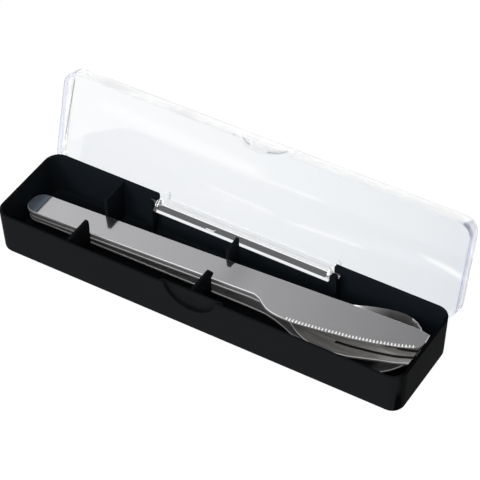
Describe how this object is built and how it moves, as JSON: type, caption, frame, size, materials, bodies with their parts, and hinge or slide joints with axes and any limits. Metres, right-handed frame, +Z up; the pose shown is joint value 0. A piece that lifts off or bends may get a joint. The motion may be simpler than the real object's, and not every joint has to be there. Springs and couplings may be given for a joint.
{
  "type": "cutlery case with clear hinged lid",
  "caption": "Long black tray with a clear lid hinged open on its long side, holding a stacked knife, fork and spoon in rib cradles.",
  "frame": {"origin": "centre of the tray's flat underside", "axes": "+X along the case towards the tips of the cutlery, +Y across it towards the hinge, +Z up"},
  "size_m": [0.22, 0.074, 0.0666],
  "materials": {
    "tray": "fine matte black moulding",
    "lid": "clear, glossy, slightly bluish",
    "steel": "satin polished stainless steel"
  },
  "bodies": {
    "case": {"tray": "tray", "knife": "steel", "fork": "steel", "spoon": "steel"},
    "lid": {"lid": "lid"}
  },
  "joints": [
    {"name": "lid_hinge", "type": "hinge", "parent": "case", "child": "lid", "pos_m": [0, 0.0225, 0.0198], "axis": [1, 0, 0], "range_deg": [0, 106]}
  ]
}
